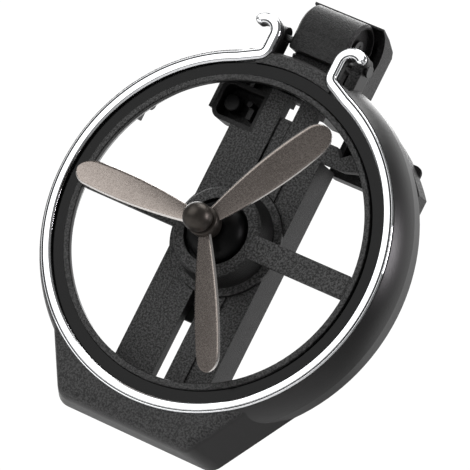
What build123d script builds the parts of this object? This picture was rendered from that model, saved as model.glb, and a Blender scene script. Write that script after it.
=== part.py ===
from build123d import *
import os
from math import cos, radians, sin, sqrt

"""Folding air-vent cup holder with a free-spinning propeller in its ring.

Lengths are millimetres.  The model is laid out about the propeller's shaft: X to the
right, Y towards the vent, Z up, with the ring's front face at Y = 0.  Every node is then
shifted so that the origin lies between the vent clip's two rubber pads.
"""

# ------------------------------------------------------------------ driving dimensions

# Ring that the cup stands in
opening_radius = 40.0
opening_flare = 2.4          # the opening is this much wider at its back edge
lip_depth = 1.6              # depth of the straight lip in front of the flare
lip_width = 1.8
groove_width = 3.3
groove_depth = 1.4
trim_width = 2.8
trim_proud = 0.5
trim_seat_depth = 0.9
edge_round = 2.6             # radial size of the rounded outer edge
edge_depth = 8.0             # depth of the rounded outer edge
face_thickness = 2.6
band_depth = 6.8
skirt_depth = 12.0
wall = 2.0
nose_drop = 55.4
nose_corner_radius = 5.0
nose_edge_radius = 3.2
flank_distance = 50.0        # from the shaft to each straight flank, at its back edge
flank_angle = 32.6           # lean of each flank from upright
flank_draft = 4.6            # the flanks are this much closer together, each, at the front
bottom_draft = 1.0
top_gap_half_width = 15.5
top_gap_rim = 1.0            # plain rim outside the trim, between the hooks

# Chrome hooks above the ring
hook_x = 9.9
hook_bend_drop = 1.1         # the hook bends upright this far inside the trim's edge
hook_curl_rise = 4.2         # and starts to curl this far outside it
hook_curl_radius = 3.4
hook_curl_turn = 128.0
hook_bend_radius = 2.5
hook_backing_rim = 0.1

# Ring hinge
ring_pivot_y = 9.0
ring_pivot_rise = 6.1        # above the trim's outer edge
ring_pin_radius = 1.0
ear_inner_x = 10.9
ear_thickness = 3.0
ear_radius = 2.8
cover_thickness = 1.5

# Swing-down cup rest
rest_front_y = 7.4
rest_thickness = 3.0
rest_pivot_y = 9.2
rest_pivot_z = 25.0
rest_pin_radius = 1.0
rest_arm_width = 1.7
rest_lug_width = 1.2
rest_eye_radius = 2.0
rest_shoulder = 2.0          # height of the arm's foot on the ring
rest_skirt_gap = 0.8
rest_ring_gap = 1.0
rest_arm_top_z = 21.5
rest_bar_drop = 2.3
rest_gap_half_width = 15.5
rest_pad_height = 0.8

# Frame that carries the propeller
frame_front_y = 8.4
frame_plate = 2.5
frame_depth = 10.4
frame_half_width = 14.0
frame_wall = 2.0
frame_top_z = 27.8
frame_overhang = 4.6         # the frame ends this far outside the opening
slot_half_width = 1.85
slot_end = 3.6               # solid frame beyond the slot's lower end
slot_top_end = 1.0
neck_half_width = 7.3
neck_overhang = 0.5          # the neck steps back this far outside the opening
neck_step_y = 10.4
raised_band = 0.5
rail_width = 1.8
rail_thickness = 1.0

# Hinge block and tilt hinge
tilt_y = 12.6
tilt_rise = 4.7              # above the ring's pivot
tilt_pin_radius = 1.6
block_radius = 7.05
block_half_width = 8.0
block_front_y = 5.7
block_drop = 2.4             # below the ring's pivot
block_back_y = 13.1
block_recess = 1.6
block_rim = 1.1
block_edge = 0.7              # chamfer round each end
tongue_half_width = 3.0
tongue_radius = 4.6
pin_head_radius = 2.4
pin_head_height = 0.9

# Hub and spokes
boss_radius = 12.0
boss_front_y = 0.5
flange_radius = 15.3
flange_thickness = 1.2
recess_radius = 8.8
recess_depth = 2.1
dome_radius = 8.3
dome_front_y = -3.2
spoke_half_width = 3.15
spoke_thickness = 2.0
spoke_gap = 0.5
hub_tube_radius = 4.5
hub_tube_back_y = 11.5
bush_radius = 2.8
bush_length = 4.0

# Propeller
axle_radius = 1.5
blade_count = 3
blade_tip_gap = 0.5
blade_root_width = 5.0
blade_full_width = 8.4
blade_full_radius = 24.5
blade_tip_round = 3.6
blade_thickness = 1.2
blade_pitch = 20.0
blade_y = -7.2
fan_hub_radius = 4.3
fan_hub_length = 4.4
cap_radius = 3.85
cap_y = -12.2
collar_radius = 3.2
collar_length = 1.4

# Latch on the left shoulder
latch_left_x = -21.0
latch_height = 11.0
latch_depth = 6.6
latch_wall = 1.2
latch_corner = 3.0
button_x = -17.0
button_z = 33.2
button_radius = 2.4
button_front_y = 9.6
button_travel = 1.2
button_stem_radius = 1.2

# Support leg
slider_top_z = 27.0
slider_height = 10.0
slider_half_width = 9.0
slider_plate = 2.0
slider_ear_depth = 4.3
leg_pivot_y = 15.2
leg_pivot_z = 23.5
leg_half_width = 6.2
leg_thickness = 3.0
leg_length = 42.0
leg_pin_radius = 1.0
foot_length = 4.0
finger_top_z = 34.5

# Bracket behind the hinge
arch_half_width = 10.6
arch_wall = 2.0
arch_plate = 2.5
arch_back_y = 25.8
arch_drop = 9.5              # below the tilt hinge
arch_lap = 2.3

# Back plate that leans on the vent
wing_half_width = 37.4       # right-hand wing
left_wing_half_width = 28.0
left_wing_bottom_z = 31.5
wing_bottom_z = 27.3
wing_depth = 5.8
wing_plate = 2.0
wing_rim = 1.5
window_half_width = 11.5
bridge_height = 5.9
bridge_thickness = 3.0
pad_thickness = 1.0
pad_width = 12.0
pad_height = 8.0
right_pad_x = 26.5
right_pad_z = 35.0
left_pad_x = -20.3
left_pad_z = 37.0

# Vent clip
clip_plate = 2.0
clip_half_width = 7.5
clip_height = 8.8            # above the arch's lower edge
jaw_half_width = 5.9
jaw_length = 19.2
jaw_thickness = 2.0
clip_pad_thickness = 0.7
clip_pad_length = 13.0
grip_drop = 3.45             # below the jaw's pivot
grip_gap = 0.7
jaw_pivot_y = 30.6
jaw_pivot_drop = 0.8         # below the arch's lower edge
jaw_knuckle_radius = 2.4
jaw_pin_radius = 1.0
lever_height = 12.6
lever_lean = 3.1
spring_wire = 0.3

# Clearances
run_fit = 0.05               # radial, a pin turning in its bore
push_fit = 0.02              # radial, pieces pressed together
joint_gap = 0.35             # between pieces that move past each other
seat_gap = 0.1               # between fixed pieces that drop into each other
screw_radius = 0.8
screw_head_radius = 1.5
screw_head_height = 0.8

# ------------------------------------------------------------------- derived sizes

groove_inner = opening_radius + lip_width
trim_inner = groove_inner + groove_width
trim_outer = trim_inner + trim_width
top_gap_radius = trim_outer + top_gap_rim
hook_bend_z = trim_outer - hook_bend_drop
hook_curl_z = trim_outer + hook_curl_rise
ring_pivot_z = trim_outer + ring_pivot_rise
tilt_z = ring_pivot_z + tilt_rise
block_bottom_z = ring_pivot_z - block_drop
arch_bottom_z = tilt_z - arch_drop
wing_radius = top_gap_radius
window_top_z = wing_radius - bridge_height
clip_top_z = arch_bottom_z + clip_height
jaw_pivot_z = arch_bottom_z - jaw_pivot_drop
grip_z = jaw_pivot_z - grip_drop
lever_top_z = jaw_pivot_z + lever_height
blade_tip_radius = opening_radius - blade_tip_gap
face_edge_radius = trim_outer + 0.2
body_radius = face_edge_radius + edge_round
band_outer = opening_radius + opening_flare + lip_width
skirt_inner = body_radius - wall
rest_inner_radius = band_outer + rest_ring_gap
rest_bar_top_z = -rest_inner_radius - rest_bar_drop
rest_arm_right = sqrt(skirt_inner**2 - (rest_pivot_z + rest_eye_radius) ** 2) - joint_gap
rest_arm_x = rest_arm_right - rest_arm_width
rest_lug_x = rest_arm_x - joint_gap - rest_lug_width
frame_bottom_z = -opening_radius - frame_overhang
neck_step_z = opening_radius + neck_overhang
slot_top_z = neck_step_z - slot_top_end
slot_bottom_z = frame_bottom_z + slot_end
cover_back_y = band_depth
cover_front_y = cover_back_y - cover_thickness
frame_back_y = frame_front_y + frame_plate
frame_rear_y = frame_front_y + frame_depth
cap_seat_y = cap_y + sqrt(cap_radius**2 - 2.65**2)
fan_hub_front_y = cap_seat_y
fan_hub_back_y = fan_hub_front_y + fan_hub_length
collar_back_y = fan_hub_back_y + collar_length
clip_plate_back_y = arch_back_y + clip_plate
lower_pad_top_z = grip_z - grip_gap / 2
upper_pad_bottom_z = grip_z + grip_gap / 2
lower_jaw_top_z = lower_pad_top_z - clip_pad_thickness
upper_jaw_bottom_z = upper_pad_bottom_z + clip_pad_thickness
jaw_end_y = clip_plate_back_y + jaw_length
clip_pad_end_y = jaw_end_y - 0.6
origin = Vector(0, clip_pad_end_y - clip_pad_length / 2, grip_z)
trim_screw_spots = [((band_outer + skirt_inner) / 2, angle) for angle in (8, 172, -26, 206)]
hub_screw_spots = [(x, z) for x in (-8.5, 8.5) for z in (-5.0, 5.0)]
wing_screw_spots = [(x, arch_bottom_z - 2.8) for x in (-5.2, 5.2)]
clip_screw_spots = [(x, clip_top_z - 2.6) for x in (-5.2, 5.2)]

# ------------------------------------------------------------------------- helpers


def slab(outline, front_y, back_y):
    """A flat outline drawn as (X, Z), given thickness from front_y to back_y."""
    return Rot(90, 0, 0) * (Pos(0, 0, -back_y) * extrude(outline, back_y - front_y))


def bar(outline, left_x, right_x):
    """An outline drawn as (Y, Z), given width from left_x to right_x."""
    return Pos(left_x, 0, 0) * extrude(Plane.YZ * outline, right_x - left_x)


def block(left, right, front, back, low, high):
    """A box between two planes in each direction."""
    size = Box(right - left, back - front, high - low)
    return Pos((left + right) / 2, (front + back) / 2, (low + high) / 2) * size


def turned(*points):
    """A solid of revolution about the shaft from (radius, Y) points."""
    return revolve(make_face(Polyline(*points, close=True)), Axis.Y)


def disc(radius, front_y, back_y, x=0.0, z=0.0):
    """A round piece with its axis along Y."""
    return slab(Pos(x, z) * Circle(radius), front_y, back_y)


def rod(radius, left_x, right_x, y, z):
    """A round piece with its axis along X."""
    return bar(Pos(y, z) * Circle(radius), left_x, right_x)


def mirrored(shape):
    """The shape and its mirror image across the middle plane."""
    return shape + mirror(shape, Plane.YZ)


def span(x0, x1, z0, z1):
    """A rectangle drawn as (X, Z) or (Y, Z) between two corners."""
    return Pos((x0 + x1) / 2, (z0 + z1) / 2) * Rectangle(abs(x1 - x0), abs(z1 - z0))


def polygon(*points):
    """A flat face through the points."""
    return make_face(Polyline(*points, close=True))


def countersunk_screw(x, z, head_back_y, length):
    """A screw along Y whose flush head faces the vent."""
    head = disc(screw_head_radius, head_back_y - screw_head_height, head_back_y, x, z)
    shank = disc(screw_radius, head_back_y - length, head_back_y - screw_head_height, x, z)
    driver = block(x - 0.9, x + 0.9, head_back_y - 0.4, head_back_y, z - 0.18, z + 0.18)
    cross = block(x - 0.18, x + 0.18, head_back_y - 0.4, head_back_y, z - 0.9, z + 0.9)
    return head + shank - driver - cross


def screw_hole(x, z, head_back_y, length):
    """The hole for a countersunk screw of the same size."""
    head_radius = screw_head_radius + push_fit
    head = disc(head_radius, head_back_y - screw_head_height, head_back_y + 1, x, z)
    return head + disc(screw_radius + push_fit, head_back_y - length, head_back_y, x, z)


def polar(radius, angle):
    return radius * cos(radians(angle)), radius * sin(radians(angle))


# ---------------------------------------------------------------------------- ring


def nose_outline(flank_inset=0.0, bottom_inset=0.0):
    """The pointed foot of the ring, whose straight flanks come out of its round side."""
    reach = flank_distance - flank_inset
    drop = nose_drop - bottom_inset
    lean = radians(flank_angle)
    half_bottom = (reach - drop * sin(lean)) / cos(lean)
    half_top = reach * cos(lean)
    outline = polygon((half_top, -reach * sin(lean)), (half_bottom, -drop), (-half_bottom, -drop),
                      (-half_top, -reach * sin(lean)))
    corners = outline.vertices().sort_by(Axis.Y)[:2]
    return fillet(corners, nose_corner_radius)


def nose_block():
    """The solid foot, wider at the back, with its front edges rounded."""
    front = Rot(90, 0, 0) * nose_outline(flank_draft, bottom_draft)
    back = Rot(90, 0, 0) * (Pos(0, 0, -skirt_depth) * nose_outline())
    foot = loft([front, back])
    return fillet(foot.faces().sort_by(Axis.Y)[0].edges(), nose_edge_radius)


def inner_outline(clearance=0.0):
    """The outline of the hollow behind the ring's face."""
    inset = wall + clearance
    return Circle(skirt_inner - clearance) + nose_outline(inset + flank_draft, inset + bottom_draft)


def hook_path():
    """The middle line of the right-hand hook, drawn as (X, Z)."""
    start = polar((trim_inner + trim_outer) / 2, 69)
    rise = FilletPolyline(start, (hook_x, hook_bend_z), (hook_x, hook_curl_z), radius=hook_bend_radius)
    centre = (hook_x + hook_curl_radius, hook_curl_z)
    return Wire(rise.edges() + CenterArc(centre, hook_curl_radius, 180, -hook_curl_turn).edges())


def hook_outline(half_width):
    """Both hooks as flat shapes with round ends."""
    path = hook_path()
    right = make_face(offset(path, half_width, kind=Kind.ARC, side=Side.BOTH))
    return right + mirror(right, Plane.YZ)


def ring_shell():
    bulge = (face_edge_radius + edge_round * 0.635, edge_depth * 0.45)
    edge = ThreePointArc((face_edge_radius, 0), bulge, (body_radius, edge_depth))
    sides = Polyline((body_radius, edge_depth), (body_radius, skirt_depth), (0, skirt_depth),
                     (0, 0), (face_edge_radius, 0))
    shell = revolve(make_face(edge.edges() + sides.edges()), Axis.Y)
    shell += nose_block()
    hollow = slab(inner_outline(), face_thickness, skirt_depth) - disc(band_outer, 0, skirt_depth)
    shell -= hollow
    shell -= disc(band_outer, band_depth, skirt_depth)
    shell -= turned((0, -1), (opening_radius, -1), (opening_radius, lip_depth),
                    (opening_radius + opening_flare, band_depth), (0, band_depth))
    shell -= turned((groove_inner, -1), (trim_inner, -1), (trim_inner, groove_depth),
                    (groove_inner, groove_depth))
    seat_outer = trim_outer + push_fit
    shell -= turned((trim_inner, -1), (seat_outer, -1), (seat_outer, trim_seat_depth),
                    (trim_inner, trim_seat_depth))
    above = body_radius + 10
    top = span(-top_gap_half_width, top_gap_half_width, opening_radius / 2, above)
    shell -= slab(top - Circle(top_gap_radius), -1, skirt_depth)
    shell -= slab(top - Circle(band_outer), face_thickness, skirt_depth)
    backing = hook_outline(trim_width / 2 + hook_backing_rim) - Circle(trim_inner)
    shell += slab(backing, trim_seat_depth, face_thickness)
    shell -= slab(hook_outline(trim_width / 2 + push_fit), -1, trim_seat_depth)
    shell += trim_bridge()
    for radius, angle in trim_screw_spots:
        x, z = polar(radius, angle)
        shell += disc(screw_radius + 1.1, face_thickness, cover_front_y, x, z)
        shell -= disc(screw_radius + push_fit, face_thickness, cover_front_y, x, z)
    lip = shell.edges().filter_by(GeomType.CIRCLE)
    lip = [e for e in lip if abs(e.center().Y) < 0.01 and e.radius < groove_inner + 0.1]
    return fillet(lip, 0.4)


def trim_bridge():
    """The plain face between the two hooks, where the trim is left out."""
    path_side = hook_x + trim_width / 2
    gap = slab(span(-path_side, path_side, 0, body_radius), 0, trim_seat_depth)
    arc = turned((trim_inner, 0), (trim_outer + push_fit, 0), (trim_outer + push_fit, trim_seat_depth),
                 (trim_inner, trim_seat_depth))
    return (arc & gap) - slab(hook_outline(trim_width / 2 + push_fit), -1, trim_seat_depth)


def chrome_trim():
    corner = 0.5
    front = -trim_proud
    trim = turned((trim_inner, front + corner), (trim_inner + corner, front),
                  (trim_outer - corner, front), (trim_outer, front + corner),
                  (trim_outer, trim_seat_depth), (trim_inner, trim_seat_depth))
    gap_half = hook_x + trim_width / 2
    trim -= slab(span(-gap_half, gap_half, 0, body_radius), -5, 5)
    hooks = slab(hook_outline(trim_width / 2), front, trim_seat_depth)
    return trim + hooks


def gloss_band():
    inner = groove_inner + push_fit
    outer = trim_inner - push_fit
    return turned((inner, groove_depth - 0.5), (outer, groove_depth - 0.5),
                  (outer, groove_depth), (inner, groove_depth))


def ring_back_cover():
    outline = inner_outline(seat_gap) - Circle(band_outer + seat_gap)
    top = span(-top_gap_half_width, top_gap_half_width, opening_radius / 2, body_radius + 10)
    outline -= top - Circle(top_gap_radius)
    cover = slab(outline, cover_front_y, cover_back_y)
    closing = (Circle(top_gap_radius) - Circle(top_gap_radius - 1.5)) & top
    cover += slab(closing, face_thickness, cover_back_y)
    ear_profile = Pos(ring_pivot_y, ring_pivot_z) * Circle(ear_radius)
    ear_profile += span(cover_back_y, ring_pivot_y + ear_radius, ring_pivot_z - 10, ring_pivot_z)
    ear = bar(ear_profile, ear_inner_x, ear_inner_x + ear_thickness)
    ear -= rod(ring_pin_radius + run_fit, 0, 20, ring_pivot_y, ring_pivot_z)
    lug_profile = Pos(rest_pivot_y, rest_pivot_z) * Circle(rest_eye_radius)
    lug_profile += span(cover_back_y, rest_pivot_y, rest_pivot_z - rest_eye_radius,
                        rest_pivot_z + rest_eye_radius)
    lug = bar(lug_profile, rest_lug_x, rest_lug_x + rest_lug_width)
    lug -= rod(rest_pin_radius + push_fit, 0, body_radius, rest_pivot_y, rest_pivot_z)
    cover += mirrored(ear + lug)
    for radius, angle in trim_screw_spots:
        x, z = polar(radius, angle)
        cover -= screw_hole(x, z, cover_back_y, 4.0)
    return cover


def ring_screws():
    places = [polar(radius, angle) for radius, angle in trim_screw_spots]
    return [countersunk_screw(x, z, cover_back_y, 3.9) for x, z in places]


def rest_pins():
    pin = rod(rest_pin_radius, rest_lug_x, rest_arm_right, rest_pivot_y, rest_pivot_z)
    return [pin, mirror(pin, Plane.YZ)]


# ------------------------------------------------------------------------- cup rest


def cup_rest():
    outline = inner_outline(rest_skirt_gap) - Circle(rest_inner_radius)
    outline -= span(-body_radius, body_radius, rest_arm_top_z, body_radius)
    outline -= span(-rest_gap_half_width, rest_gap_half_width, rest_bar_top_z, 0)
    back = rest_front_y + rest_thickness
    foot_z = rest_arm_top_z - rest_shoulder
    foot = span(rest_arm_x, body_radius, foot_z, rest_arm_top_z) & Circle(skirt_inner - rest_skirt_gap)
    arm = bar(span(rest_front_y, back, foot_z, rest_pivot_z), rest_arm_x, rest_arm_right)
    arm += rod(rest_eye_radius, rest_arm_x, rest_arm_right, rest_pivot_y, rest_pivot_z)
    arm += slab(foot, rest_front_y, back)
    arm -= rod(rest_pin_radius + run_fit, 0, body_radius, rest_pivot_y, rest_pivot_z)
    return slab(outline, rest_front_y, back) + mirrored(arm)


def rest_pad():
    half = rest_gap_half_width - 1.5
    return block(-half, half, rest_front_y + 0.2, rest_front_y + rest_thickness - 0.2,
                 rest_bar_top_z, rest_bar_top_z + rest_pad_height)


# ---------------------------------------------------------------------------- frame


def spine_frame():
    plate = span(-frame_half_width, frame_half_width, frame_bottom_z, frame_top_z)
    plate += span(-neck_half_width, neck_half_width, frame_top_z, neck_step_z)
    spine = slab(plate, frame_front_y, frame_back_y)
    spine += block(-neck_half_width, neck_half_width, neck_step_y, block_back_y, neck_step_z - 2.5,
                   block_bottom_z)
    side = block(frame_half_width - frame_wall, frame_half_width, frame_back_y, frame_rear_y,
                 frame_bottom_z, frame_top_z)
    rail = block(frame_half_width - frame_wall - rail_width, frame_half_width - frame_wall,
                 frame_rear_y - rail_thickness, frame_rear_y, 6.0, frame_top_z)
    spine += mirrored(side + rail)
    spine += block(-frame_half_width, frame_half_width, frame_back_y, frame_rear_y - 4,
                   frame_bottom_z, frame_bottom_z + frame_wall)
    band = span(-neck_half_width, neck_half_width, frame_bottom_z, frame_top_z)
    spine += slab(band, frame_front_y - raised_band, frame_front_y)
    spine += slab(span(-neck_half_width, neck_half_width, frame_top_z, neck_step_z),
                  frame_front_y - raised_band, frame_front_y)
    spine -= block(-slot_half_width, slot_half_width, frame_front_y - 2, frame_back_y + 4,
                   slot_bottom_z, slot_top_z)
    spine -= disc(hub_tube_radius + seat_gap, frame_front_y - 2, frame_back_y + 1)
    spine -= disc(flange_radius + seat_gap, frame_front_y - 2, frame_front_y)
    for x, z in hub_screw_spots:
        spine -= screw_hole(x, z, frame_back_y, 6.0)
    return spine


def hinge_block():
    outer = Pos(tilt_y, tilt_z) * Circle(block_radius)
    outer += span(block_front_y, tilt_y, block_bottom_z, tilt_z)
    outer += span(tilt_y - 1, block_back_y, block_bottom_z, tilt_z)
    body = bar(outer, -block_half_width, block_half_width)
    ends = body.edges().filter_by_position(Axis.X, -block_half_width, -block_half_width)
    ends += body.edges().filter_by_position(Axis.X, block_half_width, block_half_width)
    body = chamfer(ends, block_edge)
    slot_half = tongue_half_width + joint_gap
    slot_radius = tongue_radius + joint_gap
    swing = Pos(tilt_y, tilt_z) * Circle(slot_radius)
    swing += span(tilt_y, tilt_y + 12, block_bottom_z + 2.0, tilt_z + 12)
    body -= bar(swing, -slot_half, slot_half)
    inner = Pos(tilt_y, tilt_z) * Circle(block_radius - block_rim)
    inner += span(block_front_y + block_rim, block_back_y - block_rim, block_bottom_z + block_rim, tilt_z)
    pocket = bar(inner, block_half_width - block_recess, block_half_width + 1)
    pocket -= rod(ring_pin_radius + 0.9, 0, 20, ring_pivot_y, ring_pivot_z)
    body -= mirrored(pocket)
    body -= rod(tilt_pin_radius + push_fit, -20, 20, tilt_y, tilt_z)
    body -= rod(ring_pin_radius + push_fit, -20, 20, ring_pivot_y, ring_pivot_z)
    return body


def tilt_pin():
    reach = block_half_width - block_recess
    return rod(tilt_pin_radius, -reach, reach, tilt_y, tilt_z)


def tilt_pin_screws():
    inner = block_half_width - block_recess
    head = rod(pin_head_radius, inner, inner + pin_head_height, tilt_y, tilt_z)
    outer = inner + pin_head_height
    head -= block(outer - 0.5, outer, tilt_y - 1.3, tilt_y + 1.3, tilt_z - 0.25, tilt_z + 0.25)
    head -= block(outer - 0.5, outer, tilt_y - 0.25, tilt_y + 0.25, tilt_z - 1.3, tilt_z + 1.3)
    return [head, mirror(head, Plane.YZ)]


def ring_pins():
    inner = tongue_half_width + joint_gap
    outer = ear_inner_x + ear_thickness + joint_gap
    pin = rod(ring_pin_radius, inner, outer, ring_pivot_y, ring_pivot_z)
    pin += rod(ring_pin_radius + 0.6, outer, outer + 0.6, ring_pivot_y, ring_pivot_z)
    return [pin, mirror(pin, Plane.YZ)]


def hub_spider():
    boss_back = frame_front_y
    floor_y = boss_front_y + recess_depth
    hub = turned((0, floor_y), (recess_radius, floor_y), (recess_radius, boss_front_y),
                 (boss_radius - 0.6, boss_front_y), (boss_radius, boss_front_y + 0.6),
                 (boss_radius + 1.2, boss_back - flange_thickness),
                 (flange_radius, boss_back - flange_thickness), (flange_radius, boss_back),
                 (hub_tube_radius, boss_back), (hub_tube_radius, hub_tube_back_y), (0, hub_tube_back_y))
    spoke_end = opening_radius - spoke_gap
    spoke = span(-spoke_end, spoke_end, -spoke_half_width, spoke_half_width) & Circle(spoke_end)
    spoke -= Circle(recess_radius + 1)
    hub += slab(spoke, boss_front_y, boss_front_y + spoke_thickness)
    hub -= disc(axle_radius + joint_gap, -5, 20)
    hub -= disc(bush_radius + push_fit, floor_y - 1, floor_y + bush_length)
    hub -= disc(bush_radius + push_fit, hub_tube_back_y - bush_length, hub_tube_back_y + 1)
    for x, z in hub_screw_spots:
        hub -= disc(screw_radius + push_fit, 5.4, 20, x, z)
    return hub


def hub_screws():
    return [countersunk_screw(x, z, frame_back_y, 5.4) for x, z in hub_screw_spots]


def hub_dome():
    floor_y = boss_front_y + recess_depth
    rise = floor_y - dome_front_y
    neck = 2.6
    arc = EllipticalCenterArc((neck, floor_y), dome_radius - neck, rise, 270, arc_size=90)
    sides = Polyline((dome_radius, floor_y), (neck + 0.9, floor_y), (neck + 0.9, dome_front_y + 2.0),
                     (axle_radius + joint_gap, dome_front_y + 2.0), (axle_radius + joint_gap, dome_front_y),
                     (neck, dome_front_y))
    return revolve(make_face(arc.edges() + sides.edges()), Axis.Y)


def bush(front_y):
    return disc(bush_radius, front_y, front_y + bush_length) - disc(axle_radius + run_fit, -20, 30)


def front_bush():
    return bush(boss_front_y + recess_depth)


def rear_bush():
    return bush(hub_tube_back_y - bush_length)


def right_catch():
    outline = polygon((neck_half_width, frame_top_z), (frame_half_width + 6.5, frame_top_z),
                      (25.5, 29.2), (25.5, 32.4), (20.6, 32.4), (18.4, 30.6), (16.4, 33.0),
                      (neck_half_width, 33.0))
    catch = slab(outline, frame_front_y, frame_back_y)
    catch += slab(polygon((20.6, 32.4), (25.5, 32.4), (25.5, 29.2), (20.6, 29.2)),
                  frame_back_y, frame_back_y + 2.0)
    return catch


# ---------------------------------------------------------------------------- latch


def latch_housing():
    left = latch_left_x
    right = -neck_half_width
    low = frame_top_z
    high = frame_top_z + latch_height
    outline = span(left, right, low, high)
    outline = fillet(outline.vertices().sort_by(Axis.X)[:2], latch_corner)
    housing = slab(outline, frame_front_y, frame_front_y + latch_depth)
    pocket = span(left + latch_wall, right - latch_wall, low + latch_wall, high - latch_wall)
    pocket = fillet(pocket.vertices().sort_by(Axis.X)[:2], latch_corner - latch_wall)
    housing -= slab(pocket, frame_front_y - 1, frame_front_y + latch_depth - latch_wall)
    housing += disc(0.8, frame_front_y + 1.6, frame_front_y + latch_depth - latch_wall, -12.3, 34.6)
    housing += block(-11.4, -9.9, frame_front_y + 0.8, frame_front_y + latch_depth - latch_wall, 30.6, 33.6)
    housing -= disc(button_stem_radius + run_fit, 0, 30, button_x, button_z)
    return housing


def latch_button():
    head_back = frame_front_y + latch_depth - latch_wall - button_travel - joint_gap
    button = disc(button_radius, button_front_y, head_back, button_x, button_z)
    button = fillet(button.faces().sort_by(Axis.Y)[0].edges(), 0.5)
    return button + disc(button_stem_radius, head_back, frame_front_y + latch_depth, button_x, button_z)


# ----------------------------------------------------------------------- support leg


def leg_slider():
    front = frame_back_y + joint_gap
    low = slider_top_z - slider_height
    plate_back = front + slider_plate
    slider = block(-slider_half_width, slider_half_width, front, plate_back, low, slider_top_z)
    ear_profile = Pos(leg_pivot_y, leg_pivot_z) * Circle(2.2)
    ear_profile += span(plate_back, leg_pivot_y, leg_pivot_z - 2.2, leg_pivot_z + 2.2)
    ear = bar(ear_profile, leg_half_width + joint_gap, slider_half_width)
    slider += mirrored(ear)
    key_half = slot_half_width - joint_gap
    slider += block(-key_half, key_half, frame_front_y, front, low, finger_top_z)
    slider += block(-key_half, key_half, front, plate_back, slider_top_z, finger_top_z)
    slider -= rod(leg_pin_radius + push_fit, -20, 20, leg_pivot_y, leg_pivot_z)
    return slider


def support_leg():
    half = leg_thickness / 2
    front = leg_pivot_y - half
    back = leg_pivot_y + half
    leg = block(-leg_half_width, leg_half_width, front, back, leg_pivot_z - leg_length, leg_pivot_z)
    leg += rod(half, -leg_half_width, leg_half_width, leg_pivot_y, leg_pivot_z)
    leg -= block(-leg_half_width + 2.2, leg_half_width - 2.2, leg_pivot_y, back + 1,
                 leg_pivot_z - leg_length + 4, leg_pivot_z - 5)
    leg -= rod(leg_pin_radius + run_fit, -20, 20, leg_pivot_y, leg_pivot_z)
    return leg


def leg_foot():
    top = leg_pivot_z - leg_length
    half = leg_thickness / 2
    return block(-leg_half_width, leg_half_width, leg_pivot_y - half, leg_pivot_y + half,
                 top - foot_length, top)


def leg_pin():
    return rod(leg_pin_radius, -slider_half_width, slider_half_width, leg_pivot_y, leg_pivot_z)


# ------------------------------------------------------------------------ propeller


def axle():
    front = cap_seat_y - 1.4
    back = hub_tube_back_y + joint_gap + 1.2
    shaft = disc(axle_radius, front, back)
    groove = disc(axle_radius + 1, hub_tube_back_y + joint_gap, hub_tube_back_y + joint_gap + 0.6)
    return shaft - (groove - disc(axle_radius - 0.4, -20, 30))


def retaining_clip():
    front = hub_tube_back_y + joint_gap
    ring = disc(axle_radius + 1.3, front, front + 0.6) - disc(axle_radius - 0.4 + push_fit, -20, 30)
    return ring - block(-0.9, 0.9, front - 1, front + 2, -5, 0)


def blade_outline():
    """One blade lying along +X, drawn as (radius, chord)."""
    root = fan_hub_radius - 0.8
    half_root = blade_root_width / 2
    half_full = blade_full_width / 2
    tip = blade_tip_radius
    upper = Spline((root, half_root), (blade_full_radius, half_full), (tip - blade_tip_round, half_full * 0.78))
    lower = Spline((root, -half_root), (blade_full_radius, -half_full),
                   (tip - blade_tip_round, -half_full * 0.78))
    end = ThreePointArc(upper @ 1, (tip, 0), lower @ 1)
    side = Line(upper @ 0, lower @ 0)
    return make_face(upper.edges() + end.edges() + lower.edges() + side.edges())


def propeller():
    hub = disc(fan_hub_radius, fan_hub_front_y, fan_hub_back_y)
    flat = slab(blade_outline(), -blade_thickness / 2, blade_thickness / 2)
    blade = Pos(0, blade_y, 0) * (Rot(blade_pitch, 0, 0) * flat)
    for index in range(blade_count):
        hub += Rot(0, 60 + index * 360 / blade_count, 0) * blade
    return hub - disc(axle_radius + push_fit, -20, 20)


def spinner_cap():
    ball = Pos(0, cap_y, 0) * Sphere(cap_radius)
    ball -= block(-9, 9, cap_seat_y, cap_seat_y + 9, -9, 9)
    return ball - disc(axle_radius + push_fit, cap_seat_y - 1.5, cap_seat_y + 1)


def axle_collar():
    tube = disc(collar_radius, fan_hub_back_y, collar_back_y)
    return tube - disc(axle_radius + push_fit, -20, 20)


# ---------------------------------------------------------------------- rear bracket


def about_tilt(*points):
    """A flat face through points given from the tilt hinge's axis, drawn as (Y, Z)."""
    return Pos(tilt_y, tilt_z) * polygon(*points)


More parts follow.
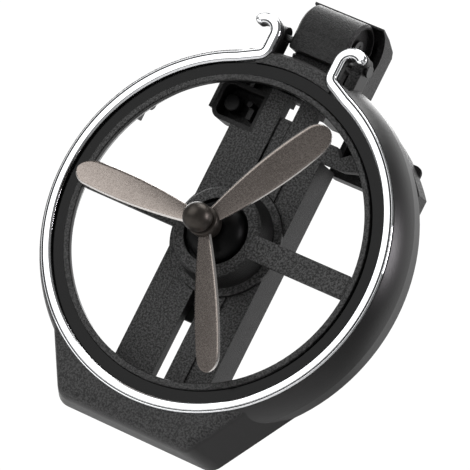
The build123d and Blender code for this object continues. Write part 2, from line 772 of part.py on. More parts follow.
def arch_bracket():
    back = arch_back_y - tilt_y
    inner = back - arch_plate
    block_room = Pos(tilt_y, tilt_z) * Circle(block_radius + joint_gap)
    roof = about_tilt((1.6, 7.8), (6.9, 6.7), (12.0, 4.9), (back, 3.4), (back, 1.3), (inner, 1.3),
                      (inner - 0.6, 3.1), (6.8, 4.5), (1.6, 5.8)) - block_room
    arch = bar(roof, -arch_half_width, arch_half_width)
    arch += block(-arch_half_width, arch_half_width, arch_back_y - arch_plate, arch_back_y,
                  arch_bottom_z, tilt_z + 2.3)
    cheek = about_tilt((1.6, 7.8), (6.9, 6.7), (12.0, 4.9), (back, 3.4), (back, -arch_drop),
                       (4.6, -arch_drop), (3.0, -6.6)) - block_room
    arch += mirrored(bar(cheek, arch_half_width - arch_wall, arch_half_width))
    arm = about_tilt((0, 3.5), (4.9, 3.5), (6.9, 5.3), (11.9, 3.5), (11.9, -7.7), (2.0, -4.0))
    tongue = bar(arm + Pos(tilt_y, tilt_z) * Circle(tongue_radius), -tongue_half_width, tongue_half_width)
    arch += tongue
    lap_front = arch_back_y - bridge_thickness - arch_lap
    arch += block(-8.0, 8.0, lap_front, arch_back_y - bridge_thickness, arch_bottom_z - 5.2,
                  arch_bottom_z + 1.5)
    arch += block(-8.0, 8.0, lap_front, arch_back_y - 0.5, arch_bottom_z, arch_bottom_z + 1.5)
    arch -= rod(tilt_pin_radius + run_fit, -20, 20, tilt_y, tilt_z)
    for x, z in wing_screw_spots:
        arch -= disc(screw_radius + push_fit, lap_front - 1, arch_back_y, x, z)
    for x, z in clip_screw_spots:
        arch -= disc(screw_radius + push_fit, arch_back_y - arch_plate - 1, arch_back_y + 1, x, z)
    return arch


def wing_outline(shrink=0.0):
    right = span(0, wing_half_width - shrink, wing_bottom_z + shrink, body_radius)
    left = span(-left_wing_half_width + shrink, 0, left_wing_bottom_z + shrink, body_radius)
    outline = Circle(wing_radius - shrink) & (right + left)
    window = window_half_width + shrink
    return outline - span(-window, window, 0, window_top_z + shrink)


def back_plate():
    front = arch_back_y - wing_depth
    plate = slab(wing_outline(), arch_back_y - wing_plate, arch_back_y)
    rim = wing_outline() - wing_outline(wing_rim)
    low_edge = arch_bottom_z - seat_gap
    clear = span(-window_half_width, window_half_width, 20, body_radius)
    plate += slab(rim - clear, front, arch_back_y)
    bridge = wing_outline() & clear & span(-body_radius, body_radius, 0, low_edge)
    plate -= slab(span(-window_half_width, window_half_width, low_edge, low_edge + 20), 0, 40)
    plate += slab(bridge, arch_back_y - bridge_thickness, arch_back_y)
    for x in (-20.0, 19.0, 28.0):
        rib = span(x - 0.6, x + 0.6, wing_bottom_z, body_radius) & wing_outline()
        plate += slab(rib, front + 1.5, arch_back_y)
    for x, z in wing_screw_spots:
        plate -= disc(screw_radius + push_fit, 0, 40, x, z)
    return plate


def back_pad(x, z):
    pad = Pos(x, z) * RectangleRounded(pad_width, pad_height, 2.0)
    half = pad_width / 2 - 1.2
    groove_front = arch_back_y + pad_thickness - 0.3
    ribs = [block(x - half, x + half, groove_front, groove_front + 2, z + rise - 0.4, z + rise + 0.4)
            for rise in (-2.2, 2.2)]
    return slab(pad, arch_back_y, arch_back_y + pad_thickness) - ribs


def bracket_screws():
    return [countersunk_screw(x, z, clip_plate_back_y, 6.8) for x, z in wing_screw_spots]


# ------------------------------------------------------------------------- vent clip


def clip_base():
    low = lower_jaw_top_z - jaw_thickness
    base = block(-clip_half_width, clip_half_width, arch_back_y, clip_plate_back_y, low, clip_top_z)
    base += block(-jaw_half_width, jaw_half_width, clip_plate_back_y, jaw_end_y, low, lower_jaw_top_z)
    base += block(-clip_half_width, clip_half_width, clip_plate_back_y, jaw_pivot_y + 2.6, low,
                  lower_jaw_top_z)
    cheek_profile = Pos(jaw_pivot_y, jaw_pivot_z) * Circle(2.4)
    cheek_profile += span(clip_plate_back_y, jaw_pivot_y, low, jaw_pivot_z + 2.4)
    cheek_profile += span(jaw_pivot_y, jaw_pivot_y + 2.4, low, jaw_pivot_z)
    cheek = bar(cheek_profile, jaw_half_width + joint_gap, clip_half_width)
    base += mirrored(cheek)
    base -= rod(jaw_pin_radius + push_fit, -20, 20, jaw_pivot_y, jaw_pivot_z)
    for x, z in wing_screw_spots + clip_screw_spots:
        base -= screw_hole(x, z, clip_plate_back_y, 6.0)
    return base


def clip_screws():
    return [countersunk_screw(x, z, clip_plate_back_y, 4.4) for x, z in clip_screw_spots]


def clip_pad(low):
    pad = block(-jaw_half_width + 0.3, jaw_half_width - 0.3, clip_pad_end_y - clip_pad_length,
                clip_pad_end_y, low, low + clip_pad_thickness)
    return pad


def clip_jaw():
    knuckle = rod(jaw_knuckle_radius, -jaw_half_width, jaw_half_width, jaw_pivot_y, jaw_pivot_z)
    top = upper_jaw_bottom_z + jaw_thickness
    plate = polygon((jaw_pivot_y, jaw_pivot_z - jaw_knuckle_radius + 0.1), (jaw_pivot_y + 3, upper_jaw_bottom_z),
                    (jaw_end_y, upper_jaw_bottom_z), (jaw_end_y, top - 0.8), (jaw_pivot_y + 3, top),
                    (jaw_pivot_y + 2, jaw_pivot_z))
    lean = lever_lean
    lever = polygon((jaw_pivot_y - 1.3, jaw_pivot_z), (jaw_pivot_y - 1.3 + lean, lever_top_z),
                    (jaw_pivot_y + 0.6 + lean, lever_top_z - 0.3), (jaw_pivot_y + 1.5, jaw_pivot_z))
    jaw = knuckle + bar(plate + lever, -jaw_half_width, jaw_half_width)
    spring_room = Pos(jaw_pivot_y, jaw_pivot_z) * Circle(jaw_knuckle_radius + 0.1)
    jaw -= bar(spring_room, -2.0, 2.0)
    jaw -= rod(jaw_pin_radius + run_fit, -20, 20, jaw_pivot_y, jaw_pivot_z)
    for step in range(4):
        z = lever_top_z - 1.6 - 1.4 * step
        y = jaw_pivot_y + 0.6 + lean * (z - jaw_pivot_z) / (lever_top_z - jaw_pivot_z) + 0.3
        jaw -= block(-jaw_half_width + 1, jaw_half_width - 1, y - 0.35, y + 2, z - 0.3, z + 0.3)
    return jaw


def jaw_pin():
    return rod(jaw_pin_radius, -clip_half_width, clip_half_width, jaw_pivot_y, jaw_pivot_z)


def clip_spring():
    coil_radius = jaw_pin_radius + spring_wire + 0.35
    coils = []
    for turn in (-1.2, -0.4, 0.4, 1.2):
        ring = Pos(turn, jaw_pivot_y, jaw_pivot_z) * Rot(0, 90, 0) * Torus(coil_radius, spring_wire)
        coils.append(ring)
    return coils


# --------------------------------------------------------------------------- export

nodes = {
    "ring_shell": ring_shell,
    "chrome_trim": chrome_trim,
    "gloss_band": gloss_band,
    "ring_back_cover": ring_back_cover,
    "ring_screws": ring_screws,
    "rest_pins": rest_pins,
    "cup_rest": cup_rest,
    "rest_pad": rest_pad,
    "spine_frame": spine_frame,
    "hinge_block": hinge_block,
    "tilt_pin": tilt_pin,
    "tilt_pin_screws": tilt_pin_screws,
    "ring_pins": ring_pins,
    "hub_spider": hub_spider,
    "hub_screws": hub_screws,
    "hub_dome": hub_dome,
    "front_bush": front_bush,
    "rear_bush": rear_bush,
    "right_catch": right_catch,
    "latch_housing": latch_housing,
    "latch_button": latch_button,
    "leg_slider": leg_slider,
    "support_leg": support_leg,
    "leg_foot": leg_foot,
    "leg_pin": leg_pin,
    "axle": axle,
    "retaining_clip": retaining_clip,
    "propeller": propeller,
    "spinner_cap": spinner_cap,
    "axle_collar": axle_collar,
    "arch_bracket": arch_bracket,
    "back_plate": back_plate,
    "left_back_pad": lambda: back_pad(left_pad_x, left_pad_z),
    "right_back_pad": lambda: back_pad(right_pad_x, right_pad_z),
    "bracket_screws": bracket_screws,
    "clip_base": clip_base,
    "clip_screws": clip_screws,
    "lower_clip_pad": lambda: clip_pad(lower_jaw_top_z),
    "upper_clip_pad": lambda: clip_pad(upper_pad_bottom_z),
    "clip_jaw": clip_jaw,
    "jaw_pin": jaw_pin,
    "clip_spring": clip_spring,
}


def placed(shape):
    """Shift a node from the shaft's layout to the part's own origin."""
    solids = [solid for piece in shape for solid in piece.solids()] if isinstance(shape, list) else shape.solids()
    moved = [Pos(-origin.X, -origin.Y, -origin.Z) * solid for solid in solids]
    return moved[0] if len(moved) == 1 else Compound(children=moved)


os.makedirs("parts", exist_ok=True)
for name, make in nodes.items():
    export_step(placed(make()), f"parts/{name}.step")
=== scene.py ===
"""Looks of the folding cup holder: moulded plastic, plated trim and a gunmetal propeller."""
import math

import bmesh
import bpy
from mathutils import Matrix, Vector


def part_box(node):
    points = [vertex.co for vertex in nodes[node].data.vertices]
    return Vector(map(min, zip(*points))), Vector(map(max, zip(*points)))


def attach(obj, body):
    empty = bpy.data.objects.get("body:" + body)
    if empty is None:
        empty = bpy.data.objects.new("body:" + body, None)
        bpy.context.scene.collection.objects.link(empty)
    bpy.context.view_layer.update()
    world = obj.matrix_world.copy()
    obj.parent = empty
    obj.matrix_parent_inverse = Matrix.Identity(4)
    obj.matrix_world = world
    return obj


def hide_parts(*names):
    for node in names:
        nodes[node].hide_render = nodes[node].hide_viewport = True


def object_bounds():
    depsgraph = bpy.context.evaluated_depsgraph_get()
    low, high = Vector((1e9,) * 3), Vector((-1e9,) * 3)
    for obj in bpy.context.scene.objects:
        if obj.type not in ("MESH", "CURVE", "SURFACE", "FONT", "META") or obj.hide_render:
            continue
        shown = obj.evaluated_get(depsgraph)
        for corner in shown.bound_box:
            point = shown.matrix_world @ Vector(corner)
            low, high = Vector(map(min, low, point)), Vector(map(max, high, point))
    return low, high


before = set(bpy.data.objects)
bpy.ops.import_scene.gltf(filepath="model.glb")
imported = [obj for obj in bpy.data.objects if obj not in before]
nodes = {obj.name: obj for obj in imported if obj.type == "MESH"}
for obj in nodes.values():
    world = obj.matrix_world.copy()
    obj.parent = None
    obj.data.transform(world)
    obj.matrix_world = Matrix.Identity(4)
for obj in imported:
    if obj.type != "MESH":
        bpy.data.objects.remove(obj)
cad_box = [list(corner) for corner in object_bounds()]

MM = 0.001
scene = bpy.context.scene


# ------------------------------------------------------------------------ shader maths

# socket numbers of the Mix node when it mixes colours
MIX_FACTOR, MIX_COLOR_A, MIX_COLOR_B, MIX_RESULT = 0, 6, 7, 2


class Value:
    """A number that varies over a surface; arithmetic on it adds Math nodes."""

    def __init__(self, owner, socket):
        self.owner = owner
        self.socket = socket

    def _math(self, operation, first, second):
        return self.owner.node("ShaderNodeMath", {"operation": operation}, {0: first, 1: second})

    def __add__(self, other):
        return self._math("ADD", self, other)

    def __radd__(self, other):
        return self._math("ADD", other, self)

    def __mul__(self, other):
        return self._math("MULTIPLY", self, other)

    def __rmul__(self, other):
        return self._math("MULTIPLY", other, self)


class NodeTree:
    """A tree of shader nodes, all of them made by one method."""

    def __init__(self, tree):
        self.tree = tree

    def node(self, kind, settings=None, inputs=None, output=0):
        made = self.tree.nodes.new(kind)
        for key, value in (settings or {}).items():
            setattr(made, key, value)
        for key, value in (inputs or {}).items():
            self.feed(made.inputs[key], value)
        return Value(self, made.outputs[output])

    def feed(self, socket, value):
        if isinstance(value, Value):
            self.tree.links.new(value.socket, socket)
        else:
            socket.default_value = value


class Finish(NodeTree):
    """One material, built from a few plain calls."""

    def __init__(self, name):
        self.material = bpy.data.materials.new(name)
        self.material.use_nodes = True
        super().__init__(self.material.node_tree)
        self.shader = self.tree.nodes["Principled BSDF"]
        self.place = self.node("ShaderNodeTexCoord", output="Object")

    def set(self, **inputs):
        for name, value in inputs.items():
            self.feed(self.shader.inputs[name.replace("_", " ")], value)
        return self

    def noise(self, size, detail=2.0, roughness=0.5):
        """Soft noise whose features are about size across, in metres; 0 to 1."""
        settings = {"Vector": self.place, "Scale": 1.0 / size, "Detail": detail,
                    "Roughness": roughness}
        return self.node("ShaderNodeTexNoise", None, settings, output="Fac")

    def ramp(self, value, low, high):
        """0 below low, 1 above high, smooth between."""
        return self.node("ShaderNodeMapRange", {"interpolation_type": "SMOOTHSTEP"},
                         {"Value": value, "From Min": low, "From Max": high})

    def mix(self, factor, dark, light):
        """A colour between two, by factor."""
        return self.node("ShaderNodeMix", {"data_type": "RGBA"},
                         {MIX_FACTOR: factor, MIX_COLOR_A: dark, MIX_COLOR_B: light}, MIX_RESULT)

    def facing(self, axis):
        """How far the surface faces along one of the part's own axes, 0 to 1 either way."""
        normal = self.node("ShaderNodeTexCoord", output="Normal")
        split = self.node("ShaderNodeSeparateXYZ", None, {0: normal}, output=axis)
        return self.node("ShaderNodeMath", {"operation": "ABSOLUTE"}, {0: split})

    def worn_edge(self, radius):
        """The surface direction, softened as if edges were rounded by radius."""
        return self.node("ShaderNodeBevel", {"samples": 6}, {"Radius": radius})

    def bump(self, height, depth, strength=1.0, normal=None):
        inputs = {"Height": height, "Distance": depth, "Strength": strength}
        if normal:
            inputs["Normal"] = normal
        return self.node("ShaderNodeBump", None, inputs)


def grey(level, warmth=0.0):
    """A near-neutral colour; warmth shifts it towards red."""
    return (level * (1 + warmth), level, level * (1 - warmth), 1.0)


# --------------------------------------------------------------------------- finishes

def spark_grain_plastic(name, face_shade, painted_side_shade, grain=1.0, smooth_sides=0.0, polish=0.0):
    """Black ABS with a spark-eroded grain, smoother where it faces sideways, and painted shade making those
    sideways faces darker.
    """
    finish = Finish(name)
    pits = finish.noise(0.50 * MM, detail=3.0, roughness=0.65)
    fine = finish.noise(0.24 * MM, detail=2.0, roughness=0.6)
    cloud = finish.noise(9 * MM, detail=2.0)
    face = finish.ramp(finish.facing("Y"), 0.45, 0.92)
    textured = face * smooth_sides + (1.0 - smooth_sides)
    # faces get the lighter grained colour and sides a far darker one; the darkness of the sides is painted
    # shade, not the plastic's own colour
    grain_colour_on_lit_faces = finish.mix(finish.ramp(pits, 0.40, 0.62), grey(face_shade * 0.2), grey(face_shade * 1.9))
    side_colour_with_painted_shade = finish.mix(fine, grey(painted_side_shade * 0.7, 0.04), grey(painted_side_shade * 1.3, 0.04))
    height = (pits * 0.8 + fine * 0.4) * textured
    finish.set(Base_Color=finish.mix(face, side_colour_with_painted_shade, grain_colour_on_lit_faces),
               Roughness=0.34 - polish + textured * 0.12 + cloud * 0.06,
               Normal=finish.bump(height, 0.28 * MM * grain, 1.0, finish.worn_edge(0.35 * MM)))
    return finish.material


def polished_black(name, roughness):
    finish = Finish(name)
    haze = finish.noise(6 * MM, detail=3.0)
    finish.set(Base_Color=finish.mix(haze, grey(0.002), grey(0.005, -0.05)),
               Roughness=roughness + haze * 0.08,
               Normal=finish.bump(haze, 0.04 * MM, 0.4, finish.worn_edge(0.2 * MM)),
               Specular_IOR_Level=0.16)
    return finish.material


def bright_chrome():
    finish = Finish("bright_chrome")
    ripple = finish.noise(6 * MM, detail=1.0)
    dust = finish.noise(0.9 * MM, detail=3.0, roughness=0.6)
    finish.set(Base_Color=finish.mix(dust, grey(0.84, -0.02), grey(0.93, -0.01)),
               Metallic=1.0, Roughness=0.05 + finish.ramp(dust, 0.55, 0.9) * 0.06,
               Normal=finish.bump(ripple, 0.03 * MM, 0.3))
    return finish.material


def satin_gunmetal():
    """Blade faces: warm grey metal, finely blasted."""
    finish = Finish("satin_gunmetal")
    blast = finish.noise(0.40 * MM, detail=3.0, roughness=0.75)
    cloud = finish.noise(7 * MM, detail=3.0)
    mottle = finish.ramp(blast, 0.3, 0.7) * 0.7 + cloud * 0.3
    tint = finish.mix(mottle, (0.19, 0.163, 0.147, 1), (0.37, 0.328, 0.300, 1))
    finish.set(Base_Color=tint, Metallic=0.95, Roughness=0.20 + blast * 0.09 + cloud * 0.05,
               Normal=finish.bump(blast, 0.03 * MM, 0.6))
    return finish.material


def bright_bevel():
    """The polished bevel along each blade's edge."""
    finish = Finish("bright_bevel")
    blast = finish.noise(0.4 * MM, detail=2.0)
    finish.set(Base_Color=finish.mix(blast, (0.74, 0.70, 0.67, 1), (0.90, 0.87, 0.84, 1)),
               Metallic=1.0, Roughness=0.16 + blast * 0.1)
    return finish.material


def dark_gunmetal():
    finish = Finish("dark_gunmetal")
    cloud = finish.noise(2 * MM, detail=3.0)
    finish.set(Base_Color=finish.mix(cloud, (0.034, 0.029, 0.025, 1), (0.085, 0.074, 0.064, 1)),
               Metallic=0.75, Roughness=0.30 + cloud * 0.16,
               Normal=finish.bump(cloud, 0.06 * MM, 0.5, finish.worn_edge(0.2 * MM)))
    return finish.material


def turned_steel(name, shade, rough):
    finish = Finish(name)
    scratch = finish.noise(0.3 * MM, detail=4.0, roughness=0.7)
    finish.set(Base_Color=finish.mix(scratch, grey(shade * 0.8), grey(shade * 1.15)),
               Metallic=1.0, Roughness=rough + scratch * 0.15,
               Normal=finish.bump(scratch, 0.02 * MM, 0.5, finish.worn_edge(0.12 * MM)))
    return finish.material


def natural_acetal():
    finish = Finish("natural_acetal")
    cloud = finish.noise(1.5 * MM, detail=2.0)
    finish.set(Base_Color=finish.mix(cloud, (0.66, 0.65, 0.60, 1), (0.76, 0.75, 0.71, 1)),
               Roughness=0.35 + cloud * 0.1)
    return finish.material


def matt_rubber():
    finish = Finish("matt_rubber")
    pores = finish.noise(0.3 * MM, detail=3.0)
    finish.set(Base_Color=finish.mix(pores, grey(0.012), grey(0.026)), Roughness=0.75 + pores * 0.15,
               Normal=finish.bump(pores, 0.08 * MM, 0.8, finish.worn_edge(0.25 * MM)))
    return finish.material


# first number: colour of the faces; second number: colour of the sideways faces, kept dark as painted shade
shell_plastic = spark_grain_plastic("shell_plastic", 0.042, 0.005, smooth_sides=0.9, polish=0.04)
frame_plastic = spark_grain_plastic("frame_plastic", 0.058, 0.006, grain=1.3, smooth_sides=0.4, polish=-0.06)
block_plastic = spark_grain_plastic("block_plastic", 0.010, 0.006, smooth_sides=0.3, polish=0.05)
dark_plastic = spark_grain_plastic("dark_plastic", 0.006, 0.004, smooth_sides=0.5)
gloss = polished_black("polished_black", 0.09)
satin = polished_black("satin_black", 0.30)
chrome = bright_chrome()
gunmetal = satin_gunmetal()
bevel_metal = bright_bevel()
spinner_metal = dark_gunmetal()
steel = turned_steel("turned_steel", 0.55, 0.22)
black_screw = turned_steel("black_screw", 0.10, 0.30)
acetal = natural_acetal()
rubber = matt_rubber()

coverings = {
    shell_plastic: ("ring_shell", "ring_back_cover", "cup_rest"),
    frame_plastic: ("spine_frame", "hub_spider", "right_catch", "leg_slider", "support_leg"),
    block_plastic: ("hinge_block", "arch_bracket", "clip_base", "clip_jaw", "back_plate"),
    dark_plastic: ("latch_housing",),
    gloss: ("gloss_band",),
    satin: ("hub_dome", "latch_button"),
    chrome: ("chrome_trim",),
    spinner_metal: ("spinner_cap", "axle_collar"),
    gunmetal: ("propeller",),
    steel: ("axle", "retaining_clip", "leg_pin", "jaw_pin", "clip_spring"),
    black_screw: ("tilt_pin", "ring_pins", "rest_pins", "ring_screws", "hub_screws",
                  "bracket_screws", "clip_screws", "tilt_pin_screws"),
    acetal: ("front_bush", "rear_bush"),
    rubber: ("rest_pad", "leg_foot", "left_back_pad", "right_back_pad", "lower_clip_pad",
             "upper_clip_pad"),
}
for material, names in coverings.items():
    for name in names:
        for material_slot in nodes[name].material_slots:
            material_slot.material = material


# ---------------------------------------------------------------------------- pieces

def middle(node):
    low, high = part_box(node)
    return (Vector(low) + Vector(high)) / 2


def new_piece(name, mesh, body, *materials):
    piece = bpy.data.objects.new(name, mesh)
    scene.collection.objects.link(piece)
    for material in materials:
        mesh.materials.append(material)
    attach(piece, body)
    return piece


shaft = middle("axle")
blade_box = [Vector(corner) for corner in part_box("propeller")]
blade_plane_y = middle("propeller").y
blade_reach = shaft.x - blade_box[0].x
hub_radius = (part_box("axle_collar")[1][0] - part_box("axle_collar")[0][0]) / 2

blade_count = 3
first_blade_angle = 60
blade_root_half_width = 2.0 * MM
blade_swell = 2.2 * MM
swell_reach = 0.78              # share of a half wave that the swell covers from root to tip
swell_fullness = 0.9
tip_start = 0.88                # share of the blade where its round tip begins
tip_roundness = 2.2
least_half_width = 0.02 * MM
blade_root_pitch = 25
blade_twist = 6
blade_root_thickness = 0.62 * MM
blade_thinning = 0.22 * MM
blade_crown = 0.18              # share of the thickness that the crown adds at mid chord
blade_rim = 0.28 * MM
rim_limit = 0.3
root_overlap = 0.9              # share of the hub's radius where the blade starts
blade_rows = 56
blade_columns = 12
row_crowding = 1.35             # packs the rows towards the tip

hub_outer = 4.0 * MM
hub_bore = 1.55 * MM
hub_round = 0.45 * MM
hub_round_in = 0.12 * MM
hub_round_down = 0.15 * MM

trim_inner = (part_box("gloss_band")[1][0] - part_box("gloss_band")[0][0]) / 2
trim_outer = shaft.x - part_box("chrome_trim")[0][0]
trim_half = (trim_outer - trim_inner) / 2
trim_end_angle = 69
hook_x = 9.9 * MM
hook_bend_drop = 1.1 * MM
hook_rise = 4.2 * MM
hook_bend_radius = 2.5 * MM
hook_curl_radius = 3.4 * MM
hook_curl_turn = 128
tip_steps = 6


def blade_half_width(share):
    """Half the chord, by share of the way from root to tip."""
    swell = math.sin(math.pi * min(share * swell_reach, 1.0)) ** swell_fullness
    end = max(0.0, (share - tip_start) / (1 - tip_start))
    width = blade_root_half_width + blade_swell * swell
    return width * math.sqrt(max(0.0, 1 - end ** tip_roundness))


def blade_mesh():
    """A twisted, bevelled blade along +X, with its own bright bevel faces."""
    root = hub_radius * root_overlap
    bm = bmesh.new()
    grid = []
    for row in range(blade_rows + 1):
        share = 1 - (1 - row / blade_rows) ** row_crowding
        radius = root + (blade_reach - root) * share
        half = max(blade_half_width(share), least_half_width)
        pitch = math.radians(blade_root_pitch - blade_twist * share)
        inset = max(half - blade_rim, half * rim_limit)
        thick = blade_root_thickness - blade_thinning * share
        chords = [-inset + 2 * inset * step / blade_columns for step in range(blade_columns + 1)]
        front = [(chord, thick * (1 - blade_crown * (chord / half) ** 2)) for chord in chords]
        outline = [(-half, 0.0)] + front + [(half, 0.0)]
        outline += [(chord, -height) for chord, height in reversed(front)]
        loop = []
        for chord, height in outline:
            y = -height * math.cos(pitch) - chord * math.sin(pitch)
            z = chord * math.cos(pitch) - height * math.sin(pitch)
            loop.append(bm.verts.new((radius, y, z)))
        grid.append(loop)
    count = len(grid[0])
    edge_columns = {0, blade_columns + 1, blade_columns + 2, count - 1}
    for first, second in zip(grid, grid[1:]):
        for column in range(count):
            following = (column + 1) % count
            face = bm.faces.new((first[column], second[column], second[following], first[following]))
            face.material_index = 1 if column in edge_columns else 0
            face.smooth = column not in edge_columns
    bm.faces.new(list(reversed(grid[-1]))).material_index = 1
    bm.faces.new(grid[0])
    bmesh.ops.recalc_face_normals(bm, faces=bm.faces)
    return bm


def propeller():
    """Three blades, set round the shaft in the blade plane."""
    whole = bmesh.new()
    for index in range(blade_count):
        blade = blade_mesh()
        angle = math.radians(first_blade_angle + 360 / blade_count * index)
        turn = Matrix.Rotation(-angle, 4, "Y")
        bmesh.ops.transform(blade, matrix=turn, verts=blade.verts)
        part = bpy.data.meshes.new("blade")
        blade.to_mesh(part)
        blade.free()
        whole.from_mesh(part)
    place = Matrix.Translation((shaft.x, blade_plane_y, shaft.z))
    bmesh.ops.transform(whole, matrix=place, verts=whole.verts)
    mesh = bpy.data.meshes.new("propeller_blades")
    whole.to_mesh(mesh)
    whole.free()
    return new_piece("propeller_blades", mesh, "fan", gunmetal, bevel_metal)


def turned_piece(name, body, profile, *materials, steps=96):
    """A solid of revolution about the shaft; profile is (radius, Y) from the blade plane."""
    bm = bmesh.new()
    rings = []
    for radius, y in profile:
        ring = []
        for step in range(steps):
            angle = 2 * math.pi * step / steps
            ring.append(bm.verts.new((shaft.x + radius * math.cos(angle), y,
                                      shaft.z + radius * math.sin(angle))))
        rings.append(ring)
    for first, second in zip(rings, rings[1:] + rings[:1]):
        for step in range(steps):
            following = (step + 1) % steps
            bm.faces.new((first[step], second[step], second[following], first[following])).smooth = True
    bmesh.ops.recalc_face_normals(bm, faces=bm.faces)
    mesh = bpy.data.meshes.new(name)
    bm.to_mesh(mesh)
    bm.free()
    return new_piece(name, mesh, body, *materials)


def propeller_hub():
    """The turned boss between the cap and the collar, with both edges rounded."""
    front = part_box("spinner_cap")[1][1]
    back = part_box("axle_collar")[0][1]
    profile = [(hub_bore, front), (hub_outer - hub_round, front),
               (hub_outer - hub_round_in, front + hub_round_down),
               (hub_outer, front + hub_round), (hub_outer, back - hub_round),
               (hub_outer - hub_round_in, back - hub_round_down),
               (hub_outer - hub_round, back), (hub_bore, back)]
    return turned_piece("propeller_hub", "fan", profile, spinner_metal)


def rounded_route(corners, radii, step):
    """Points along straight runs through the corners, each corner rounded to its radius."""
    route = [corners[0]]
    for before, corner, after, radius in zip(corners, corners[1:], corners[2:], radii):
        into = (corner - before).normalized()
        out = (after - corner).normalized()
        turn = into.angle(out)
        side = 1.0 if into.cross(out) > 0 else -1.0
        start = corner - into * radius * math.tan(turn / 2)
        centre = start + Vector((-into.y, into.x)) * side * radius
        pieces = max(2, round(turn / step))
        for piece in range(pieces + 1):
            spin = Matrix.Rotation(side * turn * piece / pieces, 2)
            route.append(centre + spin @ (start - centre))
    return route + [corners[-1]]


def arc_points(centre, radius, start, end, step):
    """Points on an arc from angle start to angle end, in degrees."""
    count = max(2, round(abs(end - start) / step))
    angles = [math.radians(start + (end - start) * index / count) for index in range(count + 1)]
    return [centre + Vector((math.cos(angle), math.sin(angle))) * radius for angle in angles]


def trim_route():
    """The middle line of the plated trim as (X, Z) from the shaft, one hook's end to the other's."""
    middle_radius = (trim_outer + trim_inner) / 2
    ring = arc_points(Vector((0, 0)), middle_radius, -90, trim_end_angle, 2)
    bend = Vector((hook_x, trim_outer - hook_bend_drop))
    rise = Vector((hook_x, trim_outer + hook_rise))
    hook = rounded_route([ring[-1], bend, rise], [hook_bend_radius], math.radians(6))
    curl_centre = rise + Vector((hook_curl_radius, 0))
    curl = arc_points(curl_centre, hook_curl_radius, 180, 180 - hook_curl_turn, 6)
    right = ring[:-1] + hook[:-1] + curl
    left = [Vector((-point.x, point.y)) for point in reversed(right[1:])]
    return left + right


# across the trim from its inner edge to its outer edge: share of half its width, depth in mm
TRIM_SECTION = ((-1.0, 0.60), (-0.97, 0.42), (-0.90, 0.30), (-0.80, 0.24), (-0.76, 0.12), (-0.66, 0.04),
                (-0.40, 0.005), (0.0, 0.0), (0.30, 0.004), (0.44, 0.012), (0.48, 0.09), (0.68, 0.10),
                (0.72, 0.03), (0.80, 0.04), (0.88, 0.12), (0.96, 0.28), (1.0, 0.60))

PAINTED_REFLECTION_COLUMN = 11           # the pressed line between two bands, coloured black: a painted dark reflection on the plating


def plated_trim():
    """The trim swept along its line: a crowned band with a black line near its outer edge, a painted dark
    reflection in the pressed groove.
    """
    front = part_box("chrome_trim")[0][1]
    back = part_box("chrome_trim")[1][1]
    section = [(share, front + depth * MM) for share, depth in TRIM_SECTION]
    section = [(-1.0, back)] + section + [(1.0, back)]
    route = trim_route()
    bm = bmesh.new()
    loops = []
    for index, point in enumerate(route):
        before = route[max(index - 1, 0)]
        after = route[min(index + 1, len(route) - 1)]
        along = (after - before).normalized()
        outward = Vector((along.y, -along.x))
        loop = []
        for share, y in section:
            spot = point + outward * share * trim_half
            loop.append(bm.verts.new((shaft.x + spot.x, y, shaft.z + spot.y)))
        loops.append(loop)
    for first, second in zip(loops, loops[1:]):
        for column in range(len(section)):
            following = (column + 1) % len(section)
            face = bm.faces.new((first[column], first[following], second[following], second[column]))
            face.smooth = True
            # the pressed groove takes the polished black material: painted dark reflection
            face.material_index = 1 if column == PAINTED_REFLECTION_COLUMN else 0
    for end, inner in ((0, 1), (-1, -2)):
        round_trim_end(bm, loops[end], route[end], route[end] - route[inner], section)
    bmesh.ops.recalc_face_normals(bm, faces=bm.faces)
    mesh = bpy.data.meshes.new("plated_trim")
    bm.to_mesh(mesh)
    bm.free()
    return new_piece("plated_trim", mesh, "ring", chrome, gloss)


def round_trim_end(bm, loop, point, direction, section):
    """Close one end of the trim with a half-round tip."""
    along = direction.normalized()
    centre = Vector((shaft.x + point.x, 0, shaft.z + point.y))
    outward = Vector((along.x, 0, along.y))
    previous = loop
    for step in range(1, tip_steps):
        angle = math.pi / 2 * step / tip_steps
        ring = []
        for vert in loop:
            flat = Vector((vert.co.x, 0, vert.co.z)) - centre
            across = flat * math.cos(angle)
            bow = outward * flat.length * math.sin(angle)
            spot = centre + across + bow
            ring.append(bm.verts.new((spot.x, vert.co.y, spot.z)))
        for column in range(len(section)):
            following = (column + 1) % len(section)
            quad = (previous[column], previous[following], ring[following], ring[column])
            bm.faces.new(quad).smooth = True
        previous = ring
    bm.faces.new(previous)


blades = propeller()
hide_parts("propeller")
hub = propeller_hub()

trim = plated_trim()
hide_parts("chrome_trim")


# --------------------------------------------------------------- camera, light, floor

view_width = 118.987 * MM       # what the frame spans, across the plane through the ring's front
sensor_width = 36.0
camera_right = Vector((0.8214, 0.3570, 0.4449)).normalized()
camera_back = Vector((0.4423, -0.8913, -0.1014)).normalized()
camera_up = camera_back.cross(camera_right).normalized()
camera_right = camera_up.cross(camera_back).normalized()
camera_distance = 1.3

ring_front_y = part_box("ring_shell")[0][1]
hub_centre = Vector((shaft.x, ring_front_y, shaft.z))
offset_right = 5.063 * MM
offset_up = -1.165 * MM
target = hub_centre + camera_right * offset_right + camera_up * offset_up

camera_data = bpy.data.cameras.new("camera")
camera_data.sensor_width = sensor_width
camera_data.lens = sensor_width * camera_distance / view_width
camera_data.clip_end = 20.0
camera = bpy.data.objects.new("camera", camera_data)
scene.collection.objects.link(camera)
rotation = Matrix((camera_right, camera_up, camera_back)).transposed()
camera.matrix_world = Matrix.Translation(target + camera_back * camera_distance) @ rotation.to_4x4()
scene.camera = camera


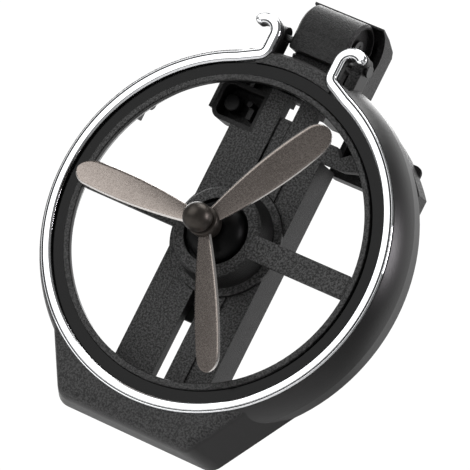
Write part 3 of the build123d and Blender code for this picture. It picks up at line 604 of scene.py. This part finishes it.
def soft_light(name, direction, distance, size, power, tint=(1, 1, 1)):
    """A square soft box that looks at the part from the given direction."""
    data = bpy.data.lights.new(name, "AREA")
    data.size = size
    data.energy = power
    data.color = tint
    light = bpy.data.objects.new(name, data)
    light.location = target + Vector(direction).normalized() * distance
    light.rotation_euler = (light.location - target).to_track_quat("Z", "Y").to_euler()
    scene.collection.objects.link(light)


soft_light("front_box", (-0.53, -0.77, 0.34), 1.0, 0.95, 4.8)
soft_light("top_box", (-0.10, 0.10, 0.98), 0.8, 0.5, 3.6)
soft_light("right_strip", (0.95, 0.10, 0.50), 0.7, 0.25, 2.2, (1.0, 0.95, 1.0))
soft_light("rear_box", (-0.55, 0.75, 0.45), 1.0, 0.7, 5.0)

def studio_surround(front_strength, back_strength):
    """A white surround, dim on the front side of the part and bright behind it."""
    world = bpy.data.worlds.new("studio")
    world.use_nodes = True
    surround = NodeTree(world.node_tree)
    background = surround.tree.nodes["Background"]
    background.inputs["Color"].default_value = (1.0, 1.0, 1.0, 1.0)
    direction = surround.node("ShaderNodeTexCoord", output="Generated")
    depth = surround.node("ShaderNodeSeparateXYZ", None, {0: direction}, output="Y")
    strength = surround.node("ShaderNodeMapRange", None,
                             {"Value": depth, "From Min": 0.35, "From Max": 0.75,
                              "To Min": front_strength, "To Max": back_strength})
    surround.feed(background.inputs["Strength"], strength)
    scene.world = world


studio_surround(0.18, 1.05)

floor_drop = 0.5
floor_mesh = bpy.data.meshes.new("floor")
floor_half = 3.0
floor_mesh.from_pydata([(-floor_half, -floor_half, 0), (floor_half, -floor_half, 0),
                        (floor_half, floor_half, 0), (-floor_half, floor_half, 0)], [], [(0, 1, 2, 3)])
floor = bpy.data.objects.new("floor", floor_mesh)
floor.location.z = cad_box[0][2] - floor_drop
scene.collection.objects.link(floor)
pale = Finish("pale_floor")
pale.set(Base_Color=pale.mix(pale.noise(0.5), grey(0.86), grey(0.90)), Roughness=0.7)
floor_mesh.materials.append(pale.material)

scene.view_settings.view_transform = "Standard"
